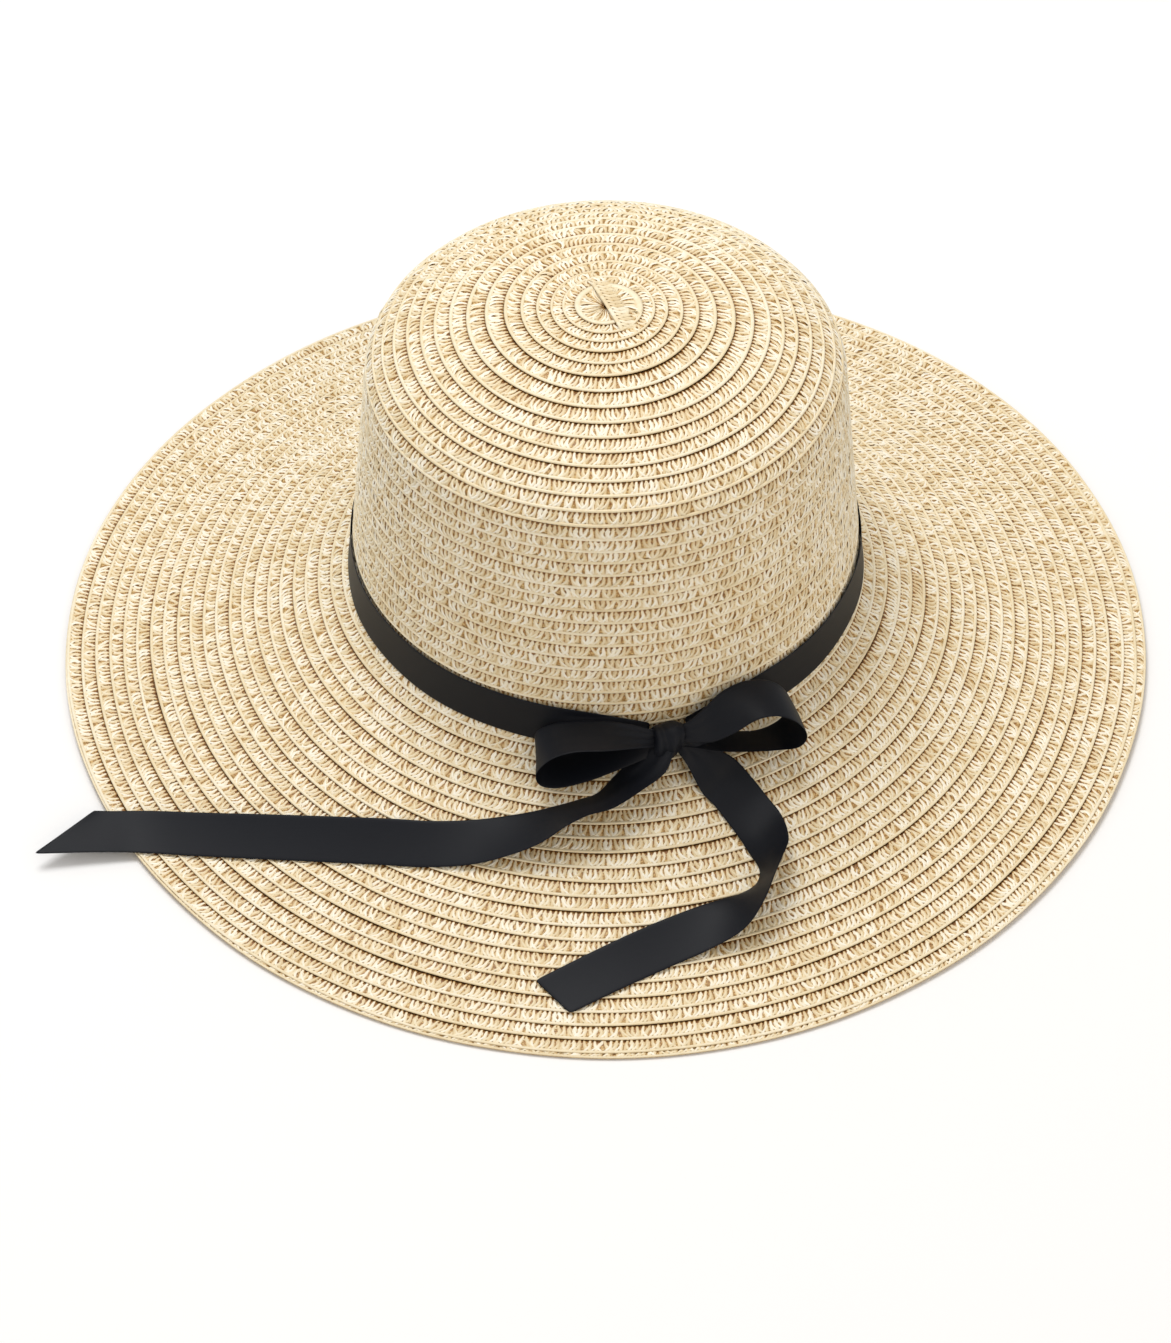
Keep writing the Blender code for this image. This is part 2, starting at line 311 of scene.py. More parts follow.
def makeOutline():
    # radius and height against the distance from the middle of the top
    shape = hatShape
    rise = shape["topHeight"] - shape["shoulderHeight"]
    turn = np.linspace(0.0, math.pi / 2, 600)
    domeR = shape["shoulderRadius"] * np.sin(turn)
    domeZ = shape["shoulderHeight"] + rise * np.cos(turn)
    down = np.linspace(0.0, 1.0, 400)[1:]
    sideR = shape["shoulderRadius"] + (shape["footRadius"] - shape["shoulderRadius"]) * down
    sideZ = shape["shoulderHeight"] + (shape["footHeight"] - shape["shoulderHeight"]) * down
    out = np.linspace(0.0, 1.0, 500)[1:]
    brimR = shape["footRadius"] + (shape["brimRadius"] - shape["footRadius"]) * out
    drop = shape["footHeight"] - shape["edgeHeight"]
    brimZ = shape["edgeHeight"] + drop * (1.0 - out) ** shape["brimSweep"]
    radius = np.concatenate([domeR, sideR, brimR])
    height = np.concatenate([domeZ, sideZ, brimZ])
    arc = np.concatenate([[0.0], np.cumsum(np.hypot(np.diff(radius), np.diff(height)))])
    footArc = arc[len(domeR) + len(sideR) - 1]
    even = np.arange(0.0, arc[-1], shape["step"])
    radius = np.interp(even, arc, radius)
    height = np.interp(even, arc, height)

    # The braid can't turn a sharp corner, so it is rounded where the crown meets the brim.
    reach = 15
    kernel = np.ones(2 * reach + 1) / (2 * reach + 1)
    for _ in range(2):
        near = np.clip(1.0 - np.abs(even - footArc) / shape["footRounding"], 0.0, 1.0) ** 0.5
        soft = [np.convolve(np.pad(v, reach, mode="reflect", reflect_type="odd"), kernel, "valid")
                for v in (radius, height)]
        radius = radius + (soft[0] - radius) * near
        height = height + (soft[1] - height) * near
    slopeR = np.gradient(radius, even)
    slopeZ = np.gradient(height, even)
    length = np.hypot(slopeR, slopeZ)
    return {"arc": even, "radius": radius, "height": height,
            "normalR": -slopeZ / length, "normalZ": slopeR / length, "foot": footArc}


outline = makeOutline()


def hatPoints(arc, lift, azimuth):
    # A point on the hat: distance along the outline, height off the surface, turn about the axis.
    radius, height, normalR, normalZ = (np.interp(arc, outline["arc"], outline[name])
                                        for name in ("radius", "height", "normalR", "normalZ"))
    past = np.clip((arc - outline["foot"]) / (outline["arc"][-1] - outline["foot"]), 0.0, 1.2)
    wave = sum(size * np.cos(count * azimuth) for count, size in hatShape["edgeWaves"])
    rear = np.maximum(np.cos(azimuth + hatShape["rearTurn"]), 0.0) ** hatShape["rearNarrow"]
    radius = radius + normalR * lift + past * wave * mm - past ** 2 * hatShape["rearPull"] * rear
    height = height + normalZ * lift
    height = height + past ** 2 * hatShape["sideLift"] * (1.0 - np.cos(2 * azimuth))
    return np.column_stack([radius * np.sin(azimuth), -radius * np.cos(azimuth), height])


# Knitted paper straw braid, sewn in one spiral from the middle of the top to the brim's edge.
braid = {
    "stitch": 1.8 * mm,
    "width": 6.2 * mm,
    "overlap": 1.0 * mm,
    "rowPitch": 5.22 * mm,
    # rows that stand wider or closer: how far from the middle, over what reach, by how much
    "pitchChanges": ((44.0 * mm, 12.0 * mm, 1.5 * mm), (15.0 * mm, 6.0 * mm, -1.1 * mm)),
    "firstEdge": 8.6 * mm,
    "firstTurn": 14.0 * mm,
    "firstGap": 0.3 * mm,
    "leastRoom": 0.72,
    "rowDrop": 0.47 * mm,
    "turnStep": 0.02,
    "mostTurns": 80,
    "stitchesPerPiece": 2400,
    "seed": 7,
    # how the stitches differ: lean in shares of their length, heights in millimetres
    "lean": 0.06,
    "leanSpread": 0.21,
    "curlLean": 1.5,
    "leanFrom": 2.4 * mm,
    "flippedShare": 0.35,
    "heightSpread": 0.10,
    "curlSink": 0.5,
    # slow wander of the row's edge: length of a wave over tau in metres, size in millimetres
    "wander": ((0.011, 0.10), (0.023, 0.12), (0.067, 0.14), (0.31, 0.15)),
    "wanderPhase": 900.0,
    "wanderShare": 0.8,
    "wanderEnd": 0.1,
}

# One stitch. Paths are (x, y, z, half width) and ridges (share of half width, up), in millimetres.
stitch = {
    "bodyThick": 0.35 * mm,
    "bodyInset": 0.1 * mm,
    "bodyTrim": 0.5 * mm,
    "bodyDrop": 0.52 * mm,
    "wideRidge": ((-1.0, -0.36), (-0.5, 0.0), (0.5, 0.0), (1.0, -0.36)),
    "narrowRidge": ((-1.0, -0.22), (0.0, 0.08), (1.0, -0.22)),
    "wide": ((-0.05, 0.5, -0.30, 0.50), (0.0, 1.4, 0.0, 0.60), (0.05, 3.0, 0.0, 0.80),
             (0.0, 5.2, -0.15, 0.82)),
    "crossing": ((-0.30, 2.1, -0.10, 0.35), (0.05, 3.1, 0.10, 0.42), (0.60, 4.1, 0.14, 0.42),
                 (1.35, 4.8, 0.12, 0.40), (2.1, 5.3, -0.02, 0.25)),
    "curl": ((-0.55, 3.4, -0.06, 0.24), (-0.52, 2.3, 0.12, 0.32), (0.0, 1.5, 0.16, 0.34),
             (0.55, 2.2, 0.14, 0.32), (0.62, 3.5, -0.02, 0.24)),
    "cordRadius": 0.60 * mm,
    "cordFlatness": 0.75,
    "cordTurns": (-40, 20, 75, 130, 180),
    "cordSwell": (0.97, 1.03, 0.97),
    "cordDrop": 0.20 * mm,
}

# Which part of the stitch a point belongs to.
partKind = {"body": 0.0, "wide": 1.0, "crossing": 2.0, "cord": 3.0, "curl": 4.0}

# Tones are the straw's own colour, light at 1; depths are painted shade, dark at 1, low down between
# the strands and where a row is tucked under the one before. The second number of a pair is how much
# it varies.
strawShade = {
    "bodyTone": 0.53,
    "strandTone": (0.40, 0.38),
    "crossingLighter": 0.14,
    "cordTone": (0.62, 0.2),
    "undersideTone": (0.44, 0.35),
    "undersidePaintedShade": 0.20,
    "bodyPaintedShade": (0.28, 0.72),
    "lowPaintedShade": 0.40,
    "lowTuckedPaintedShade": 0.45,
    "lowFrom": 0.08 * mm,
    "lowReach": 0.35 * mm,
    "tuckedFrom": 2.4 * mm,
    "tuckedReach": 1.2 * mm,
    "undersideFrom": 0.6 * mm,
}


def makeSpiral():
    # Turns of braid, counted outwards: where each turn's outer edge lies on the outline.
    end = outline["arc"][-1]
    step = braid["turnStep"]
    counts = [0.0]
    edges = [braid["firstEdge"]]
    while counts[-1] < braid["mostTurns"]:
        at = edges[-1]
        pitch = braid["rowPitch"]
        for middle, reach, extra in braid["pitchChanges"]:
            pitch += extra * math.exp(-((at - middle) / reach) ** 2)
        counts.append(counts[-1] + step)
        edges.append(at + pitch * step)
        if edges[-1] > end + pitch:
            break
    counts = np.array(counts)
    # The last turn runs in under the one before it, so that the edge closes into a round.
    edges = np.minimum(np.array(edges), end - 0.1 * mm)
    turnStart = float(np.interp(braid["firstTurn"], edges, counts))
    radius = np.interp(edges, outline["arc"], outline["radius"])
    length = np.concatenate([[0.0], np.cumsum(math.tau * step * 0.5 * (radius[1:] + radius[:-1]))])
    return {"count": counts, "edge": edges, "length": length, "zero": turnStart}


def drawStrand(bm, part, name, ridge):
    # A strand: a low ridge drawn along its path.
    path = stitch[name]
    steps = len(path) - 1
    sides = len(ridge) - 1
    grid = bmesh.ops.create_grid(bm, x_segments=steps, y_segments=sides, size=0.5)["verts"]
    for vert in grid:
        i = round((vert.co.x + 0.5) * steps)
        across, up = ridge[round((vert.co.y + 0.5) * sides)]
        x, y, z, half = path[i]
        before = path[max(i - 1, 0)]
        after = path[min(i + 1, steps)]
        ahead = Vector((after[0] - before[0], after[1] - before[1])).normalized()
        vert.co = ((x + ahead.y * across * half) * mm, (y - ahead.x * across * half) * mm,
                   (z + up) * mm)
        vert[part] = partKind[name]


def drawCord(bm, part):
    # The outer edge: a rounded cord that runs on from stitch to stitch.
    radius = stitch["cordRadius"]
    steps = len(stitch["cordSwell"]) - 1
    sides = len(stitch["cordTurns"]) - 1
    grid = bmesh.ops.create_grid(bm, x_segments=steps, y_segments=sides, size=0.5)["verts"]
    for vert in grid:
        swell = stitch["cordSwell"][round((vert.co.x + 0.5) * steps)]
        turn = math.radians(stitch["cordTurns"][round((vert.co.y + 0.5) * sides)])
        up = radius * stitch["cordFlatness"] * math.sin(turn) * swell
        vert.co = (vert.co.x * braid["stitch"],
                   braid["width"] - radius + radius * math.cos(turn) * swell,
                   up - stitch["cordDrop"])
        vert[part] = partKind["cord"]


def stitchMesh():
    # One stitch of the braid, lying flat: x along, y across (outer edge at the full width), z up.
    bm = bmesh.new()
    part = bm.verts.layers.float.new("part")
    width = braid["width"]

    # the body: a thin flat tube under the strands
    made = bmesh.ops.create_cube(bm, size=1.0)["verts"]
    ends = [face for face in bm.faces if abs(face.normal.x) > 0.5]
    bmesh.ops.delete(bm, geom=ends, context="FACES_ONLY")
    bmesh.ops.scale(bm, verts=made,
                    vec=(braid["stitch"], width - stitch["bodyTrim"], stitch["bodyThick"]))
    bmesh.ops.translate(bm, verts=made,
                        vec=(0.0, width / 2 - stitch["bodyInset"], -stitch["bodyDrop"]))
    long = [e for e in bm.edges if abs(e.verts[0].co.y - e.verts[1].co.y) > width / 2]
    bmesh.ops.subdivide_edges(bm, edges=long, cuts=2)

    drawStrand(bm, part, "wide", stitch["wideRidge"])
    drawStrand(bm, part, "crossing", stitch["narrowRidge"])
    drawStrand(bm, part, "curl", stitch["narrowRidge"])
    drawCord(bm, part)

    bm.normal_update()
    body = [face for face in bm.faces if face.verts[0][part] == partKind["body"]]
    bmesh.ops.recalc_face_normals(bm, faces=body)
    cordMiddle = Vector((0.0, width - stitch["cordRadius"], -stitch["cordDrop"] - 0.1 * mm))
    for face in bm.faces:
        kind = face.verts[0][part]
        outward = upright.copy()
        if kind == partKind["cord"]:
            outward = face.calc_center_median() - cordMiddle
            outward.x = 0.0
        if kind != partKind["body"] and face.normal.dot(outward) < 0.0:
            face.normal_flip()
    return bm


def copyStitches(source, count):
    # The stitch repeated in a straight row, and which part each point belongs to.
    copies = source.modifiers.new("copies", "ARRAY")
    copies.count = count
    copies.use_relative_offset = False
    copies.use_constant_offset = True
    copies.constant_offset_displace = (braid["stitch"], 0.0, 0.0)
    graph = bpy.context.evaluated_depsgraph_get()
    mesh = bpy.data.meshes.new_from_object(source.evaluated_get(graph))
    source.modifiers.remove(copies)
    part = np.empty(len(mesh.vertices))
    mesh.attributes["part"].data.foreach_get("value", part)
    mesh.attributes.remove(mesh.attributes["part"])
    return mesh, part


def paint(mesh, tone, depth):
    # tone is the straw's own colour; depth is painted shade
    for name, values in (("tone", tone), ("depth", depth)):
        layer = mesh.attributes.new(name, "FLOAT", "POINT")
        layer.data.foreach_set("value", values)


def howLow(flatZ):
    # 0 on top of the strands, 1 well down between them
    return np.clip((-strawShade["lowFrom"] - flatZ) / strawShade["lowReach"], 0.0, 1.0)


def layStitches(mesh, part, start, count, spiral, draws):
    # Lays a straight row of stitches on the spiral, each with its own lean, height and tone.
    flat = readPoints(mesh)
    flatY, flatZ = flat[:, 1], flat[:, 2]
    index = np.repeat(np.arange(count), len(flat) // count) + start
    body = part == partKind["body"]
    cord = part == partKind["cord"]
    crossing = part == partKind["crossing"]
    curl = part == partKind["curl"]
    loose = ~body & ~cord
    across = flatY / braid["width"]

    localX = flat[:, 0] - (index - start) * braid["stitch"]
    localX = localX * np.where(crossing, draws["flip"][index], 1.0)
    lean = np.where(curl, braid["curlLean"], 1.0) * draws["lean"][index]
    localX = localX + loose * lean * (flatY - braid["leanFrom"])
    lift = flatZ + loose * draws["height"][index] * mm
    lift = lift - curl * draws["sunk"][index] * braid["curlSink"] * mm
    along = (index + 0.5) * braid["stitch"] + localX
    wander = np.zeros(len(along))
    for length, size in braid["wander"]:
        wander += size * np.sin(along / length + size * braid["wanderPhase"])

    turns = np.interp(along, spiral["length"], spiral["count"])
    edge = np.interp(turns, spiral["count"], spiral["edge"])
    before = np.interp(turns - 1.0, spiral["count"], spiral["edge"])
    pitch = np.where(turns >= 1.0, edge - before, edge - braid["overlap"] + braid["firstGap"])
    room = np.maximum(pitch, braid["rowPitch"] * braid["leastRoom"])
    inner = edge - room - braid["overlap"]
    arc = inner + across * (edge - inner)
    toEnd = np.clip((spiral["length"][-1] - along) / braid["wanderEnd"], 0.0, 1.0)
    arc = np.maximum(arc + wander * mm * braid["wanderShare"] * toEnd, 0.4 * mm)
    # the inner side is tucked under the row before, and the very last turn goes right under
    covered = np.clip((room - pitch) / room, 0.0, 1.0)
    lift = lift - braid["rowDrop"] * (1.0 - across) - braid["rowDrop"] * covered
    azimuth = -(turns - spiral["zero"]) * math.tau
    writePoints(mesh, hatPoints(arc, lift, azimuth))

    shade = strawShade
    toneDraw = draws["tone"][index]
    tucked = np.clip((shade["tuckedFrom"] - flatY) / shade["tuckedReach"], 0.0, 1.0)
    low = howLow(flatZ)
    # depth is painted shade: darker low down between the strands, and on the body more where it is
    # tucked under the row before
    depth = np.where(body, shade["bodyPaintedShade"][0] + shade["bodyPaintedShade"][1] * tucked,
                     low * shade["lowPaintedShade"] + low * tucked * shade["lowTuckedPaintedShade"])
    strandTone = toneDraw * shade["strandTone"][1] + shade["strandTone"][0]
    tone = np.where(body, shade["bodyTone"], strandTone + shade["crossingLighter"] * crossing)
    tone = np.where(cord, shade["cordTone"][0] + shade["cordTone"][1] * wander, tone)
    # the underside of the body gets a light, even painted shade
    under = body & (flatZ < -shade["undersideFrom"])
    depth = np.where(under, shade["undersidePaintedShade"], depth)
    underTone = shade["undersideTone"][0] + shade["undersideTone"][1] * toneDraw
    paint(mesh, np.where(under, underTone, tone), depth)


def makeBraid(material):
    spiral = makeSpiral()
    total = spiral["length"][-1]
    stitches = int(total / braid["stitch"])
    random = np.random.RandomState(braid["seed"])
    draws = {
        "lean": random.normal(braid["lean"], braid["leanSpread"], stitches + 2),
        "flip": np.where(random.rand(stitches + 2) < braid["flippedShare"], -1.0, 1.0),
        "tone": random.rand(stitches + 2),
        "height": random.normal(0.0, braid["heightSpread"], stitches + 2),
        "sunk": random.rand(stitches + 2) ** 0.7,
    }
    source = newObject("stitchSource", stitchMesh(), material)
    pieces = []
    for start in range(0, stitches, braid["stitchesPerPiece"]):
        count = min(braid["stitchesPerPiece"], stitches - start)
        mesh, part = copyStitches(source, count)
        layStitches(mesh, part, start, count, spiral, draws)
        piece = bpy.data.objects.new("strawBraid%d" % (len(pieces) + 1), mesh)
        mesh.name = piece.name
        bpy.context.scene.collection.objects.link(piece)
        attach(piece, "hat")
        pieces.append(piece)
    bpy.data.objects.remove(source)
    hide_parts("crown_button", "crown_tip")
    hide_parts("crown_side")
    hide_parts("brim_edge")
    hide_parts("brim")
    triangles = sum(len(p.data.loops) - 2 * len(p.data.polygons) for p in pieces)
    print("braid:", round(total, 2), "m", stitches, "stitches", len(pieces), "pieces", triangles)


# The braid's first end, seen from above: start and directions in the plane of the top.
foldedEnd = {
    "stitches": 15,
    "start": (4.9 * mm, -13.0 * mm),
    "along": (-0.39, 0.92),
    "aside": (0.92, 0.39),
    "widening": 1.4,
    "lift": 0.75 * mm,
    "endDrop": 0.9 * mm,
    "endShare": 0.18,
    "sideDrop": 1.3 * mm,
    "bodyTone": 0.5,
    "strandTone": (0.45, 0.3),
    "bodyPaintedShade": 0.32,
    "topReach": 100.0 * mm,
    "seed": 3,
}


def makeFoldedEnd(material):
    # The braid starts as a folded end that lies straight across the middle of the top.
    fold = foldedEnd
    count = fold["stitches"]
    source = newObject("foldSource", stitchMesh(), material)
    mesh, part = copyStitches(source, count)
    bpy.data.objects.remove(source)
    flat = readPoints(mesh)
    along = flat[:, 0] + braid["stitch"] / 2
    middle = 1.0 - np.abs(2.0 * along / (count * braid["stitch"]) - 1.0)
    spread = braid["width"] - flat[:, 1]
    place = (np.array(fold["start"]) + np.outer(along, fold["along"])
             + np.outer(spread * fold["widening"], fold["aside"]))
    onTop = outline["arc"] < fold["topReach"]
    top = np.interp(np.hypot(place[:, 0], place[:, 1]),
                    outline["radius"][onTop], outline["height"][onTop])
    nearEnd = np.clip(1.0 - middle / fold["endShare"], 0.0, 1.0)
    lift = flat[:, 2] + fold["lift"] - fold["endDrop"] * nearEnd ** 2
    lift -= fold["sideDrop"] * np.clip(spread / braid["width"], 0.0, 1.0) ** 2
    writePoints(mesh, np.column_stack([place, top + lift]))

    body = part == partKind["body"]
    random = np.random.RandomState(fold["seed"])
    toneDraw = np.repeat(random.rand(count), len(flat) // count)
    strandTone = fold["strandTone"][0] + fold["strandTone"][1] * toneDraw
    # depth is painted shade: even on the body, darker low down between the strands
    paint(mesh, np.where(body, fold["bodyTone"], strandTone),
          np.where(body, fold["bodyPaintedShade"], howLow(flat[:, 2]) * strawShade["lowPaintedShade"]))
    piece = bpy.data.objects.new("strawFoldedEnd", mesh)
    bpy.context.scene.collection.objects.link(piece)
    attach(piece, "hat")
    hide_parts("crown_button")
    print("folded end:", count, "stitches")


# Inside of the crown: a cotton tape sewn round its foot.
liningTape = {
    "colours": ("CDB78F", "DCC8A2"),
    "threadColour": "E9DCC0",
    "roughness": 0.85,
    "threadRoughness": 0.7,
    "ribEvery": 0.389 * mm,
    "thick": 0.7 * mm,
    "gapToSide": 0.5 * mm,
    # ripples in the tape: height, and how fast they come round in radians a degree
    "ripples": ((0.25 * mm, 0.31), (0.2 * mm, 0.77)),
    "stitchEvery": 4.2 * mm,
    "stitchSize": (2.4 * mm, 0.3 * mm, 0.45 * mm),
    "stitchInset": 2.0 * mm,
    "stitchDepth": 0.75 * mm,
}

# The blank woven size tab at the back of the tape.
sizeTab = {
    "colours": ("E6E1D6", "F1EEE6"),
    "roughness": 0.75,
    "ribEvery": 0.3 * mm,
    "thick": 0.4 * mm,
    "bulge": 0.3 * mm,
    "crown": 0.05 * mm,
}


def makeCloth(name, colours, roughness, ribs):
    # Plain woven tape: matt, with fine ribs across it from the thicker weft.
    waveScale = 0.5
    ribLength = math.tau / 20.0 / waveScale  # the wave texture's own distance from rib to rib
    material, tree, shader = newMaterial(name, roughness)
    place = addNode(tree, "ShaderNodeUVMap", {"uv_map": "cloth"})
    spread = addNode(tree, "ShaderNodeMapping", {"Scale": (ribs * ribLength, 1.0, 1.0)},
                     {"Vector": (place, "UV")})
    wave = addNode(tree, "ShaderNodeTexWave", {"Scale": waveScale, "Distortion": 0.6},
                   {"Vector": (spread, "Vector")})
    tint = addNode(tree, "ShaderNodeValToRGB", {}, {"Fac": (wave, "Fac")})
    setRamp(tint, [(0.2, colours[0]), (0.8, colours[1])])
    tree.links.new(tint.outputs["Color"], shader.inputs["Base Color"])
    bump = addNode(tree, "ShaderNodeBump", {"Strength": 0.4, "Distance": 0.2 * mm},
                   {"Height": (wave, "Fac")})
    tree.links.new(bump.outputs["Normal"], shader.inputs["Normal"])
    return material


def makeLining():
    tape = liningTape
    low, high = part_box("sweatband")
    middleZ = (low.z + high.z) / 2
    half = (high.z - low.z) / 2
    radius = high.x - tape["gapToSide"] - sideSlope * half
    cotton = makeCloth("cottonTape", tape["colours"], tape["roughness"],
                       math.tau * radius / tape["ribEvery"])
    frames = []
    for turn in np.linspace(0.0, 359.4, 73):
        azimuth = math.radians(turn + 180.0)
        outward = Vector((math.sin(azimuth), -math.cos(azimuth), 0.0))
        ripple = sum(height * math.sin(turn * pace) for height, pace in tape["ripples"])
        frames.append((outward * (radius - abs(ripple)) + upright * middleZ,
                       (upright - outward * sideSlope).normalized() * half))
    band, length = makeRibbon("liningBand", frames, cotton, crown=0.0, rows=6)
    band.modifiers["wall"].thickness = tape["thick"]
    declare(band, "hat", ["sweatband"])

    bm = bmesh.new()
    count = int(math.tau * radius / tape["stitchEvery"])
    for edge in (-1.0, 1.0):
        for i in range(count):
            z = middleZ + edge * (half - tape["stitchInset"])
            away = radius - sideSlope * (z - middleZ) - tape["stitchDepth"]
            turned = Matrix.Rotation(math.tau * i / count, 4, "Z")
            place = turned @ Matrix.Translation((0.0, -away, z))
            made = bmesh.ops.create_cube(bm, size=1.0)["verts"]
            bmesh.ops.scale(bm, verts=made, vec=tape["stitchSize"])
            bmesh.ops.transform(bm, verts=made, matrix=place)
    thread = makePlain("sewingThread", tape["threadColour"], tape["threadRoughness"])
    stitches = newObject("liningStitches", bm, thread)
    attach(stitches, "hat")
    print("lining:", 2 * count, "stitches")


def makeTab():
    low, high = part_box("size_label")
    centre = (low + high) / 2
    width = high.x - low.x
    woven = makeCloth("wovenTab", sizeTab["colours"], sizeTab["roughness"],
                      width / sizeTab["ribEvery"])
    lean = Vector((0.0, -sideSlope, 1.0)).normalized() * (high.z - low.z) / 2
    frames = [(Vector((x * width / 2, centre.y - sizeTab["bulge"] * (1 - x * x), centre.z)), lean)
              for x in (-1.0, -0.5, 0.0, 0.5, 1.0)]
    label, length = makeRibbon("blankTab", frames, woven, crown=sizeTab["crown"], rows=6)
    label.modifiers["wall"].thickness = sizeTab["thick"]
    declare(label, "hat", ["size_label"])


# Black polyester satin ribbon, the same all round the hat and in the bow.
satinRibbon = {
    "colours": ("101218", "15171D"),
    "roughness": 0.5,
    "gloss": 0.17,
    "slubsAlong": 60.0,
    "threadEvery": 0.0773 * mm,
    "width": 17.0 * mm,
    "thick": 0.35 * mm,
    "rowsAcross": 10,
    "stepsPerSpan": 7,
    "crown": 0.35 * mm,
    "cutReach": 30.0 * mm,
}


def makeSatin():
    # Black polyester satin: a smooth close weave, so a deep black with a soft wide sheen.
    material, tree, shader = newMaterial("blackSatin", satinRibbon["roughness"])
    threadCount = satinRibbon["width"] / satinRibbon["threadEvery"]
    place = addNode(tree, "ShaderNodeUVMap", {"uv_map": "cloth"})
    spread = addNode(tree, "ShaderNodeMapping",
                     {"Scale": (satinRibbon["slubsAlong"], threadCount, 1.0)},
                     {"Vector": (place, "UV")})
    threads = addNode(tree, "ShaderNodeTexNoise", {"Scale": 1.0, "Detail": 3.0},
                      {"Vector": (spread, "Vector")})
    tint = addNode(tree, "ShaderNodeValToRGB", {}, {"Fac": (threads, "Fac")})
    setRamp(tint, [(0.3, satinRibbon["colours"][0]), (0.7, satinRibbon["colours"][1])])
    tree.links.new(tint.outputs["Color"], shader.inputs["Base Color"])
    bump = addNode(tree, "ShaderNodeBump", {"Strength": 0.06, "Distance": 0.1 * mm},
                   {"Height": (threads, "Fac")})
    tree.links.new(bump.outputs["Normal"], shader.inputs["Normal"])
    shader.inputs["Specular IOR Level"].default_value = satinRibbon["gloss"]
    return material


def smoothRun(values, steps):
    # Points on a smooth curve through the given ones (Catmull-Rom).
    values = np.array(values, float)
    padded = np.vstack([2 * values[0] - values[1], values, 2 * values[-1] - values[-2]])
    run = []
    for i in range(1, len(padded) - 2):
        a, b, c, d = padded[i - 1:i + 3]
        for t in np.arange(steps) / steps:
            run.append(0.5 * (2 * b + (c - a) * t + (2 * a - 5 * b + 4 * c - d) * t ** 2
                              + (3 * b - 3 * c + d - a) * t ** 3))
    run.append(values[-1])
    return np.array(run)


def makeRibbon(name, frames, material, pleats=(), crown=None, cut=0.0, rows=None):
    # frames: middle of the ribbon and its half width as a vector, from one end to the other
    # pleats: where along it, over what reach, how deep, how many folds, and their phase
    # cut: how far the ribbon's last edge slants, forwards on one side and back on the other
    steps = satinRibbon["stepsPerSpan"]
    rows = rows or satinRibbon["rowsAcross"]
    bulge = satinRibbon["crown"] if crown is None else crown
    middle = smoothRun([tuple(f[0]) for f in frames], steps)
    half = smoothRun([tuple(f[1]) for f in frames], steps)
    count = len(middle) - 1
    ahead = np.gradient(middle, axis=0)
    ahead /= np.linalg.norm(ahead, axis=1)[:, None]
    normal = np.cross(half, ahead)
    normal /= np.linalg.norm(normal, axis=1)[:, None]
    travelled = np.concatenate([[0.0], np.cumsum(np.linalg.norm(np.diff(middle, axis=0), axis=1))])
    length = travelled[-1]
    nearCut = np.clip((travelled - length) / satinRibbon["cutReach"] + 1.0, 0.0, 1.0) ** 2
    bm = bmesh.new()
    bm.loops.layers.uv.new("cloth")
    bmesh.ops.create_grid(bm, x_segments=count, y_segments=rows, size=0.5, calc_uvs=True)
    for vert in bm.verts:
        i = int(round((vert.co.x + 0.5) * count))
        v = vert.co.y * 2.0
        lift = bulge * (1.0 - v * v)
        for place, reach, depth, folds, phase in pleats:
            near = math.exp(-abs(travelled[i] - place) / reach)
            lift += depth * near * math.cos(folds * math.pi * v + phase)
        slide = cut * v * nearCut[i]
        vert.co = Vector(middle[i] + half[i] * v + normal[i] * lift + ahead[i] * slide)
    obj = newObject(name, bm, material)
    wall = obj.modifiers.new("wall", "SOLIDIFY")
    wall.thickness = satinRibbon["thick"]
    wall.offset = 0.0
    finer = obj.modifiers.new("finer", "SUBSURF")
    finer.levels = finer.render_levels = 1
    print("ribbon", name, round(length / mm, 1), "mm")
    return obj, length


def declare(obj, body, nodes):
    if body:
        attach(obj, body)
    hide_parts(*nodes)


# The bow's own directions: along it to the right, out from the crown, and up.
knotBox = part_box("bow_knot")
knotMiddle = (Vector(knotBox[0]) + Vector(knotBox[1])) / 2
bowTurn = math.atan2(knotMiddle.x, -knotMiddle.y)
alongBow = Vector((math.cos(bowTurn), math.sin(bowTurn), 0.0))
outOfBow = Vector((math.sin(bowTurn), -math.cos(bowTurn), 0.0))


def bowStep(along, out, up):
    # A length and direction in the bow's own directions, given in millimetres.
    return (alongBow * along + outOfBow * out + upright * up) * mm


def bowFrames(rows):
    # rows: the ribbon's middle from the knot's middle, and its half width, in millimetres
    return [(knotMiddle + bowStep(*middle), bowStep(*half)) for middle, half in rows]


# The ribbon round the foot of the crown. Turns are in degrees from the bow.
satinBand = {
    "endTurn": 3.85,
    "stations": 61,
    "middleUp": 9.3 * mm,
    "standOff": 0.9 * mm,
    "crown": 0.15 * mm,
    "gatherTurn": 9.0,
    "gatherPower": 1.3,
    "gatherBy": 1.6 * mm,
    "gatheredShare": 0.50,
    # ripples: height, pace in radians a degree, phase
    "ripples": ((0.12 * mm, 0.21, 0.0), (0.1 * mm, 0.093, 1.0)),
    "pleats": ((0.0, 12.0 * mm, 0.5 * mm, 3.0, 0.4), (585.0 * mm, 12.0 * mm, 0.5 * mm, 3.0, 1.1)),
}


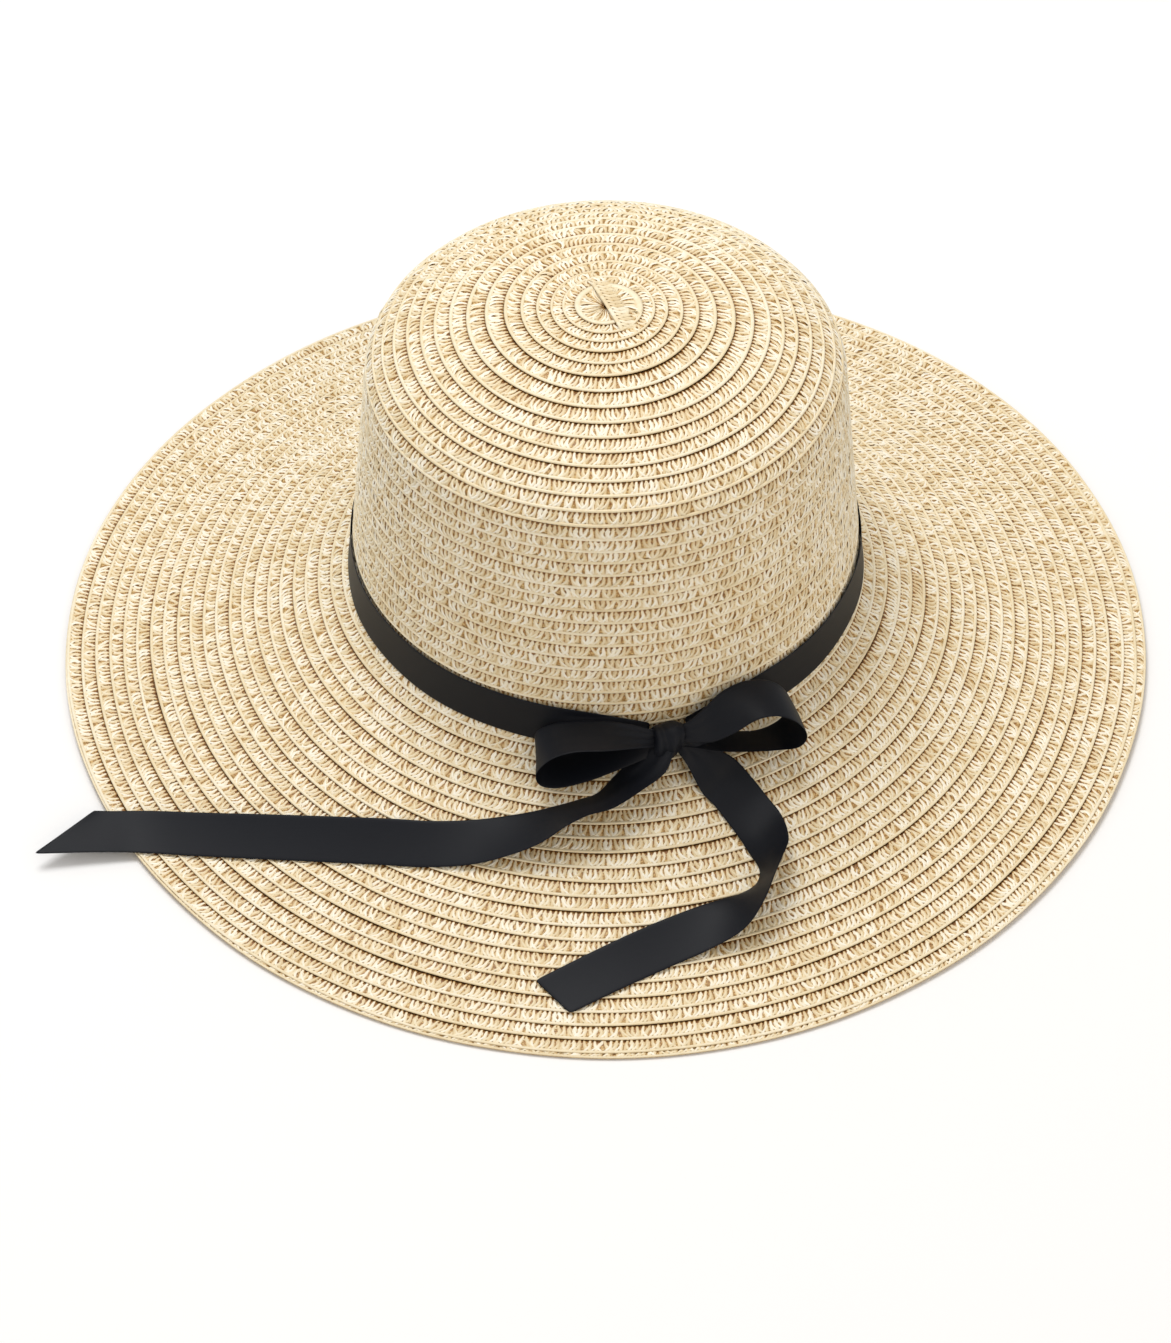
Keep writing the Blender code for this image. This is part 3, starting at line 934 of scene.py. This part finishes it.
def makeBand(material):
    # It is drawn together at each end, where it goes into the knot.
    band = satinBand
    frames = []
    for turn in np.linspace(band["endTurn"], 360 - band["endTurn"], band["stations"]):
        azimuth = bowTurn + math.radians(turn)
        fromEnd = min(turn, 360 - turn) - band["endTurn"]
        gathered = math.exp(-(fromEnd / band["gatherTurn"]) ** band["gatherPower"])
        up = band["middleUp"] - band["gatherBy"] * gathered
        radius = hatShape["footRadius"] - sideSlope * up + band["standOff"]
        radius += band["gatherBy"] * gathered
        radius += sum(height * math.sin(turn * pace + phase)
                      for height, pace, phase in band["ripples"])
        half = satinRibbon["width"] / 2 * (1.0 - band["gatheredShare"] * gathered)
        outward = Vector((math.sin(azimuth), -math.cos(azimuth), 0.0))
        across = (upright - outward * sideSlope).normalized() * half
        frames.append((outward * radius + upright * (hatShape["footHeight"] + up), across))
    obj, length = makeRibbon("satinBand", frames, material, crown=band["crown"],
                             pleats=band["pleats"])
    declare(obj, "hat", ["ribbon_band"])


# One turn of ribbon wound tightly round the middle of the bow. Bare lengths are in millimetres.
bowKnot = {
    "centre": (-1.7, 1.6, -1.8),
    "out": 4.5,
    "up": 5.5,
    "lean": 0.9,
    "halfWidth": 5.2,
    "flatWidth": 12.0 * mm,
    "crown": 1.3 * mm,
    "rows": 26,
    "pleats": ((18.25 * mm, 10.0 * mm, 0.9 * mm, 2.1, -2.2),
               (22.63 * mm, 5.0 * mm, 0.5 * mm, 2.6, 0.6)),
}


def makeKnot(material):
    along, out, up = bowKnot["centre"]
    rows = []
    for turn in np.linspace(-178.0, 178.0, 13):
        angle = math.radians(turn)
        lean = bowKnot["lean"] * math.sin(angle)
        middle = (along + lean, out + bowKnot["out"] * math.cos(angle),
                  up + bowKnot["up"] * math.sin(angle))
        rows.append((middle, (bowKnot["halfWidth"], 0.3 * lean, 0.9)))
    knot, length = makeRibbon("satinKnot", bowFrames(rows), material, crown=bowKnot["crown"],
                              rows=bowKnot["rows"], pleats=bowKnot["pleats"])
    declare(knot, "hat", ["bow_knot"])


# Each loop goes out over the top and comes back underneath: middle, and half width.
bowLoops = {
    "Left": {
        "rows": (
            ((-3.0, 2.0, 0.4), (0.0, 2.0, -2.2)),
            ((-7.5, 2.8, 2.0), (0.0, 2.4, -2.2)),
            ((-14.0, 2.6, 4.2), (0.0, 4.8, -1.2)),
            ((-24.0, 1.3, 5.6), (-1.2, 7.6, 0.4)),
            ((-34.0, -0.9, 5.3), (-1.8, 8.1, 0.9)),
            ((-42.0, -2.6, 2.6), (-1.8, 8.1, -0.2)),
            ((-46.8, -3.9, -3.4), (-1.6, 8.0, -1.8)),
            ((-45.4, -3.4, -9.2), (-1.6, 8.1, -1.6)),
            ((-39.0, -1.6, -10.8), (-1.4, 8.1, -0.8)),
            ((-29.0, 0.4, -8.2), (-1.0, 7.7, -0.4)),
            ((-19.0, 1.8, -5.2), (-0.5, 5.6, -1.0)),
            ((-9.0, 2.6, -2.8), (0.0, 3.0, -2.0)),
            ((-3.0, 2.0, -1.6), (0.0, 2.0, -2.0)),
        ),
        "pleats": ((0.0, 10.0 * mm, 0.55 * mm, 3.2, 0.5), (116.0 * mm, 10.0 * mm, 0.5 * mm, 2.7, 1.5)),
    },
    "Right": {
        "rows": (
            ((1.0, 2.0, 0.4), (0.0, 2.0, -2.2)),
            ((6.5, 3.1, 2.2), (0.2, 2.6, -2.6)),
            ((13.0, 3.2, 4.0), (0.6, 4.6, -4.0)),
            ((20.0, 2.4, 7.8), (1.2, 6.8, -3.4)),
            ((28.0, 0.9, 10.3), (0.8, 8.0, -1.7)),
            ((36.0, 0.4, 9.4), (0.6, 8.3, -1.0)),
            ((42.6, 0.8, 4.8), (1.0, 8.3, -1.2)),
            ((46.0, 0.9, -2.8), (1.2, 8.3, -1.2)),
            ((43.2, 1.2, -9.2), (1.0, 8.2, 0.6)),
            ((35.0, 2.6, -9.4), (0.6, 7.9, 2.6)),
            ((26.0, 2.4, -8.4), (0.4, 7.2, 2.2)),
            ((16.0, 3.0, -5.6), (0.2, 5.0, 0.4)),
            ((8.0, 2.8, -2.8), (0.0, 2.8, -1.6)),
            ((1.0, 2.0, -1.4), (0.0, 2.0, -2.0)),
        ),
        "pleats": ((0.0, 10.0 * mm, 0.55 * mm, 3.2, 0.5), (118.0 * mm, 10.0 * mm, 0.5 * mm, 2.7, 1.5)),
    },
}


def makeLoops(material):
    for side, settings in bowLoops.items():
        loop, length = makeRibbon("bowLoop" + side, bowFrames(settings["rows"]), material,
                                  pleats=settings["pleats"])
        declare(loop, "hat", ["bow_loop_" + side.lower()])


# Each tail starts in the knot, then follows a route over the brim.
# A route's rows: turn in degrees, share of the brim's width, lift in millimetres, roll in degrees.
bowTails = {
    "Left": {
        "start": (
            ((-0.5, 2.2, 0.4), (2.6, 1.2, 0.6)),
            ((-4.3, 5.0, -1.6), (3.6, 3.6, 0.1)),
            ((-10.1, 8.6, -6.0), (5.0, 5.6, 1.6)),
            ((-17.0, 10.2, -10.6), (3.8, 6.6, 2.8)),
        ),
        "route": (
            (0.0, 0.191, 1.0, 50), (-3.7, 0.215, 0.8, 52), (-7.2, 0.245, 0.8, 45),
            (-12.0, 0.295, 0.9, 26), (-19.5, 0.358, 0.9, 6), (-26.5, 0.415, 0.9, -4),
            (-33.3, 0.473, 0.9, -7), (-45.2, 0.633, 0.9, -8), (-53.1, 0.803, 0.9, -8),
            (-57.3, 0.932, 1.0, -9), (-59.4, 1.048, 1.9, -11), (-61.0, 1.165, 2.8, -14),
        ),
        "cut": 11.0 * mm,
        "joint": "left_tail_lift",
    },
    "Right": {
        "start": (
            ((1.0, 2.2, 0.0), (2.8, 0.6, 0.8)),
            ((5.2, 4.2, -3.0), (3.8, -0.2, 2.0)),
            ((9.5, 6.6, -7.4), (5.4, -2.4, 0.6)),
        ),
        "route": (
            (20.9, 0.148, 1.6, 6), (22.5, 0.205, 1.1, 6), (23.6, 0.271, 0.9, 8),
            (24.3, 0.345, 0.8, 20), (23.9, 0.420, 0.6, 46), (22.9, 0.478, 0.6, 72),
            (21.3, 0.522, 0.6, 74), (18.9, 0.560, 0.6, 54), (16.2, 0.588, 0.8, 26),
            (12.4, 0.606, 0.9, 8), (6.3, 0.645, 0.9, 0), (0.2, 0.711, 0.9, 0),
            (-5.8, 0.806, 0.9, 0),
        ),
        "cut": -2.4 * mm,
        "joint": "right_tail_lift",
    },
}
tailCrown = 0.2 * mm
tailPleats = ((0.0, 12.0 * mm, 0.6 * mm, 2.4, 0.3),)


def overBrim(azimuth, share, lift):
    # A place over the brim and the way up from it. Past the edge the tail hangs level in the air.
    arcEnd = outline["arc"][-1]
    arc = outline["foot"] + share * (arcEnd - outline["foot"])
    turn = np.array([math.radians(azimuth)])
    low, high = (Vector(hatPoints(np.array([min(arc, arcEnd)]), np.array([h]), turn)[0])
                 for h in (0.0, mm))
    normal = (high - low).normalized()
    if share > 1.0:
        normal = upright.copy()
        low += Vector((low.x, low.y, 0.0)).normalized() * (arc - arcEnd)
    return low + normal * lift * mm, normal


def tailFrames(start, route):
    # The edge that a roll would push into the brim is kept out of it by lifting the middle.
    halfWidth = satinRibbon["width"] / 2
    spots = [overBrim(turn, share, lift) for turn, share, lift, roll in route]
    frames = bowFrames(start)
    points = [f[0] for f in frames] + [spot for spot, normal in spots]
    for i, row in enumerate(route):
        at = i + len(start)
        ahead = (points[min(at + 1, len(points) - 1)] - points[max(at - 1, 0)]).normalized()
        spot, normal = spots[i]
        side = normal.cross(ahead).normalized()
        angle = math.radians(row[3])
        half = side * math.cos(angle) + normal * math.sin(angle)
        rise = normal * abs(math.sin(angle)) * halfWidth
        frames.append((spot + rise, half * halfWidth))
    return frames


def makeTails(material):
    for side, settings in bowTails.items():
        tail, length = makeRibbon("ribbonTail" + side,
                                  tailFrames(settings["start"], settings["route"]), material,
                                  cut=settings["cut"], crown=tailCrown, pleats=tailPleats)
        low = side.lower()
        joints = frame["record"]["behaviour"]["joints"]
        hinge = next(joint for joint in joints if joint["name"] == settings["joint"])
        centre = Vector(hinge["pos_m"])
        axis = Vector(hinge["axis"]).normalized()
        free = [Vector(corner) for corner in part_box("bow_tail_" + low)]
        ahead = (free[0] + free[1]) / 2 - centre
        ahead = (ahead - axis * ahead.dot(axis)).normalized()
        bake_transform(tail)
        declare(tail, None, ["bow_tail_%s_root" % low, "bow_tail_" + low])


makeCamera()
makeStudio()
straw = makeStraw()
makeBraid(straw)
satin = makeSatin()
makeBand(satin)
makeKnot(satin)
makeLoops(satin)
makeTails(satin)
makeLining()
makeTab()
makeFoldedEnd(straw)
